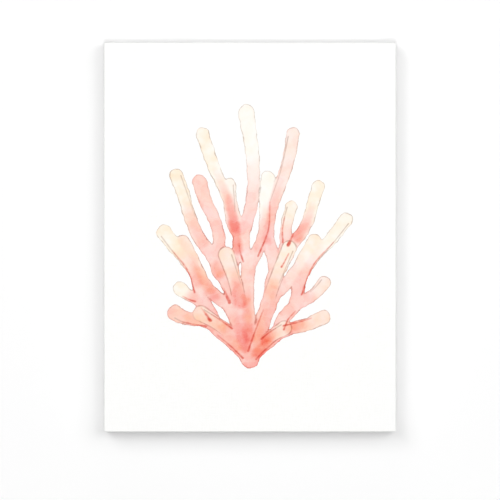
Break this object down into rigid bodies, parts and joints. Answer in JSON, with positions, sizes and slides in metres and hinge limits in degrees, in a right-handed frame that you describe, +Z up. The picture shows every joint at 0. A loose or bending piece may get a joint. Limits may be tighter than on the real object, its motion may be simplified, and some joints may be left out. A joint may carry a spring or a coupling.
{
  "type": "stretched canvas print",
  "caption": "Frameless portrait canvas print with a painted coral branch on white, wrapped over deep wooden stretcher bars, stapled behind and hung from a sawtooth hanger.",
  "frame": {"origin": "the notch of the sawtooth hanger that takes the wall nail, on the plane of the wall", "axes": "+Z up, +Y into the wall, so the printed face looks along -Y; +X to the right of someone looking at the picture"},
  "size_m": [0.4572, 0.0404, 0.6096],
  "materials": {
    "coated_canvas": "matt white ink-receptive coating over a plain cotton and polyester weave, printed in coral pinks",
    "pine": "planed, unvarnished, finger jointed",
    "beech": "sawn, unvarnished",
    "galvanised_wire": "bright galvanised",
    "zinc_plated_steel": "zinc plated, pressed",
    "rubber": "matt moulded"
  },
  "bodies": {
    "root": {"canvas": "coated_canvas", "corner_key_bottom_end": "beech", "corner_key_bottom_start": "beech", "corner_key_left_end": "beech", "corner_key_left_start": "beech", "corner_key_right_end": "beech", "corner_key_right_start": "beech", "corner_key_top_end": "beech", "corner_key_top_start": "beech", "hanger_nail_left": "zinc_plated_steel", "hanger_nail_right": "zinc_plated_steel", "sawtooth_hanger": "zinc_plated_steel", "staple_bottom_1": "galvanised_wire", "staple_bottom_2": "galvanised_wire", "staple_bottom_3": "galvanised_wire", "staple_bottom_4": "galvanised_wire", "staple_bottom_5": "galvanised_wire", "staple_bottom_6": "galvanised_wire", "staple_bottom_7": "galvanised_wire", "staple_bottom_8": "galvanised_wire", "staple_bottom_9": "galvanised_wire", "staple_left_1": "galvanised_wire", "staple_left_10": "galvanised_wire", "staple_left_11": "galvanised_wire", "staple_left_2": "galvanised_wire", "staple_left_3": "galvanised_wire", "staple_left_4": "galvanised_wire", "staple_left_5": "galvanised_wire", "staple_left_6": "galvanised_wire", "staple_left_7": "galvanised_wire", "staple_left_8": "galvanised_wire", "staple_left_9": "galvanised_wire", "staple_right_1": "galvanised_wire", "staple_right_10": "galvanised_wire", "staple_right_11": "galvanised_wire", "staple_right_2": "galvanised_wire", "staple_right_3": "galvanised_wire", "staple_right_4": "galvanised_wire", "staple_right_5": "galvanised_wire", "staple_right_6": "galvanised_wire", "staple_right_7": "galvanised_wire", "staple_right_8": "galvanised_wire", "staple_right_9": "galvanised_wire", "staple_top_1": "galvanised_wire", "staple_top_2": "galvanised_wire", "staple_top_3": "galvanised_wire", "staple_top_4": "galvanised_wire", "staple_top_5": "galvanised_wire", "staple_top_6": "galvanised_wire", "staple_top_7": "galvanised_wire", "staple_top_8": "galvanised_wire", "staple_top_9": "galvanised_wire", "stretcher_bar_bottom": "pine", "stretcher_bar_left": "pine", "stretcher_bar_right": "pine", "stretcher_bar_top": "pine", "wall_bumper_left": "rubber", "wall_bumper_right": "rubber"}
  },
  "joints": []
}
